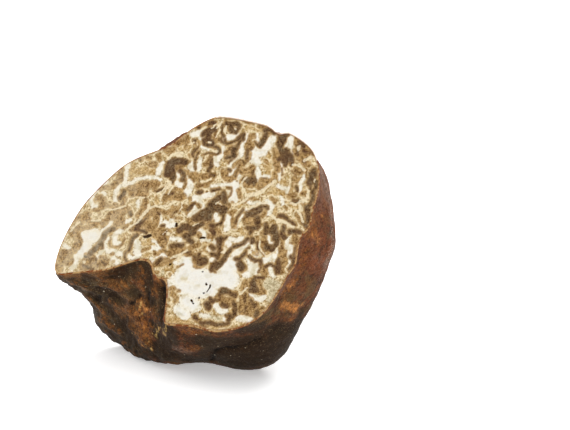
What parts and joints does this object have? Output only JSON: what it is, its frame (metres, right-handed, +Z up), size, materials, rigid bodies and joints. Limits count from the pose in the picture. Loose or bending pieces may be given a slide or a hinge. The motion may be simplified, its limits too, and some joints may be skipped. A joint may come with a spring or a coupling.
{
  "type": "cut half of a bianchetto truffle",
  "caption": "Half of a bianchetto truffle, cut flat: lobed brown skin with a deep fold at the lower left, and a leaning cut face of marbled flesh.",
  "frame": {"origin": "under the middle of the bounding box, on the surface that the truffle rests on", "axes": "+X to the right along the longest extent, +Y to the back, +Z up; the cut faces the front, -Y, turned 20 degrees towards -X and leaning back 28 degrees from upright"},
  "size_m": [0.0462, 0.0338, 0.0416],
  "materials": {
    "skin": "matt, finely grained truffle skin, red brown to near black with rusty patches",
    "flesh": "matt cut flesh, dark brown islands marbled with cream white and tan veins"
  },
  "bodies": {
    "root": {"truffle_half": "skin"}
  },
  "joints": []
}
